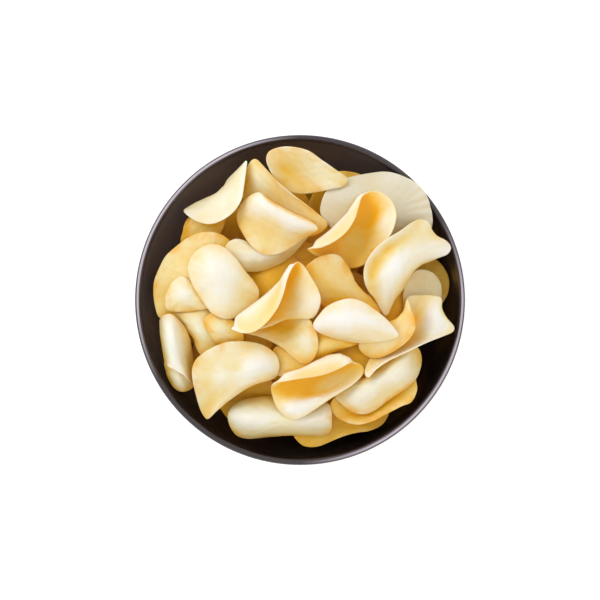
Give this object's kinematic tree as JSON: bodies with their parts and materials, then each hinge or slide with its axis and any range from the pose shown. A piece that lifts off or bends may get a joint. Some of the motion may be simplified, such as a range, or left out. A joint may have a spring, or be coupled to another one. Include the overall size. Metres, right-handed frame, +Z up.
{
  "type": "bowl of crisps",
  "caption": "Round dark glazed stoneware bowl heaped above its rim with curled potato crisps.",
  "frame": {"origin": "middle of the bowl's foot, on the table", "axes": "+Z up, +Y towards the top of the picture as seen from above, +X to its right"},
  "size_m": [0.18, 0.18, 0.0829],
  "materials": {
    "bowl": "dark brown-black glaze, glossy on the lip",
    "crisps": "pale gold fried potato, faintly oily"
  },
  "bodies": {
    "root": {"bowl": "bowl", "heap": "crisps"}
  },
  "joints": []
}
